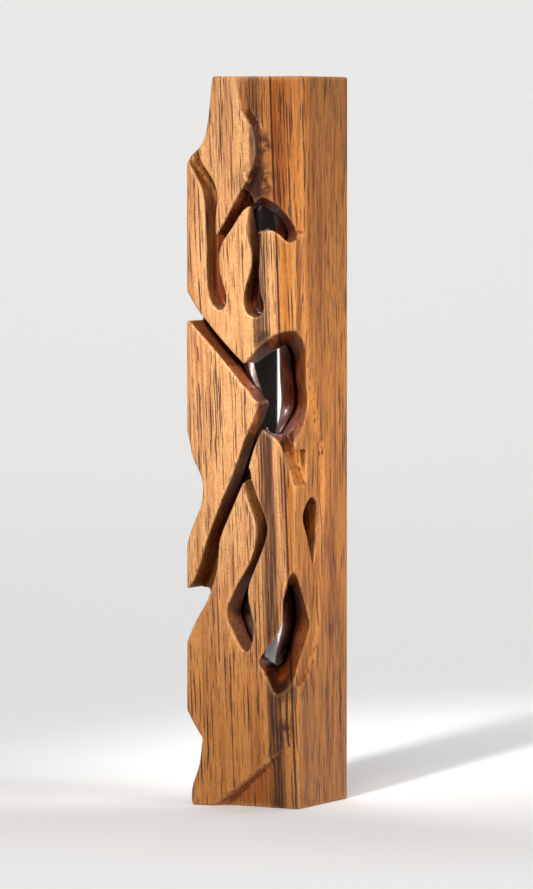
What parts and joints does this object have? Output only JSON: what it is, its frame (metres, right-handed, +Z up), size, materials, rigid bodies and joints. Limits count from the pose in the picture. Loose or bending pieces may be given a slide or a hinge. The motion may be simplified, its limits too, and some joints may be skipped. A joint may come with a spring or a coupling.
{
  "type": "mezuzah case",
  "caption": "Carved square hardwood case with openwork windows over a polished scroll tube, closed below by a push-in plug and hung by keyhole plates let into its back.",
  "frame": {"origin": "middle of the flat bottom face that the case stands on", "axes": "+Z up along the case; -Y out of the carved front; +X to the right of the carved front; +Y out of the flat back that lies against a doorpost"},
  "size_m": [0.0254, 0.0254, 0.15],
  "materials": {
    "carved_wood": "satin varnish, glossier and darker inside the carving",
    "polished_tube": "polished",
    "tube_cap": "turned, satin",
    "parchment": "matt parchment",
    "plug_wood": "turned, oiled",
    "ring_rubber": "matt",
    "plate_brass": "brushed",
    "screw_brass": "turned"
  },
  "bodies": {
    "case": {"case_body": "carved_wood", "upper_hanger_plate": "plate_brass", "lower_hanger_plate": "plate_brass", "hanger_screws": "screw_brass"},
    "cartridge": {"scroll_tube": "polished_tube", "end_plug": "plug_wood", "plug_o_ring": "ring_rubber"},
    "cap": {"tube_top_cap": "tube_cap"},
    "scroll": {"parchment_scroll": "parchment"}
  },
  "joints": [
    {"name": "cartridge_slide", "type": "slide", "parent": "case", "child": "cartridge", "axis": [0, 0, -1], "range_m": [0, 0.16]},
    {"name": "cap_pull", "type": "slide", "parent": "cartridge", "child": "cap", "axis": [0, 0, 1], "range_m": [0, 0.012]},
    {"name": "scroll_pull", "type": "slide", "parent": "cartridge", "child": "scroll", "axis": [0, 0, 1], "range_m": [0, 0.009]}
  ],
  "couplings": [
    {"joint": "cap_pull", "follows": "cartridge_slide", "ratio": 0.075},
    {"joint": "scroll_pull", "follows": "cartridge_slide", "ratio": 0.05625}
  ]
}
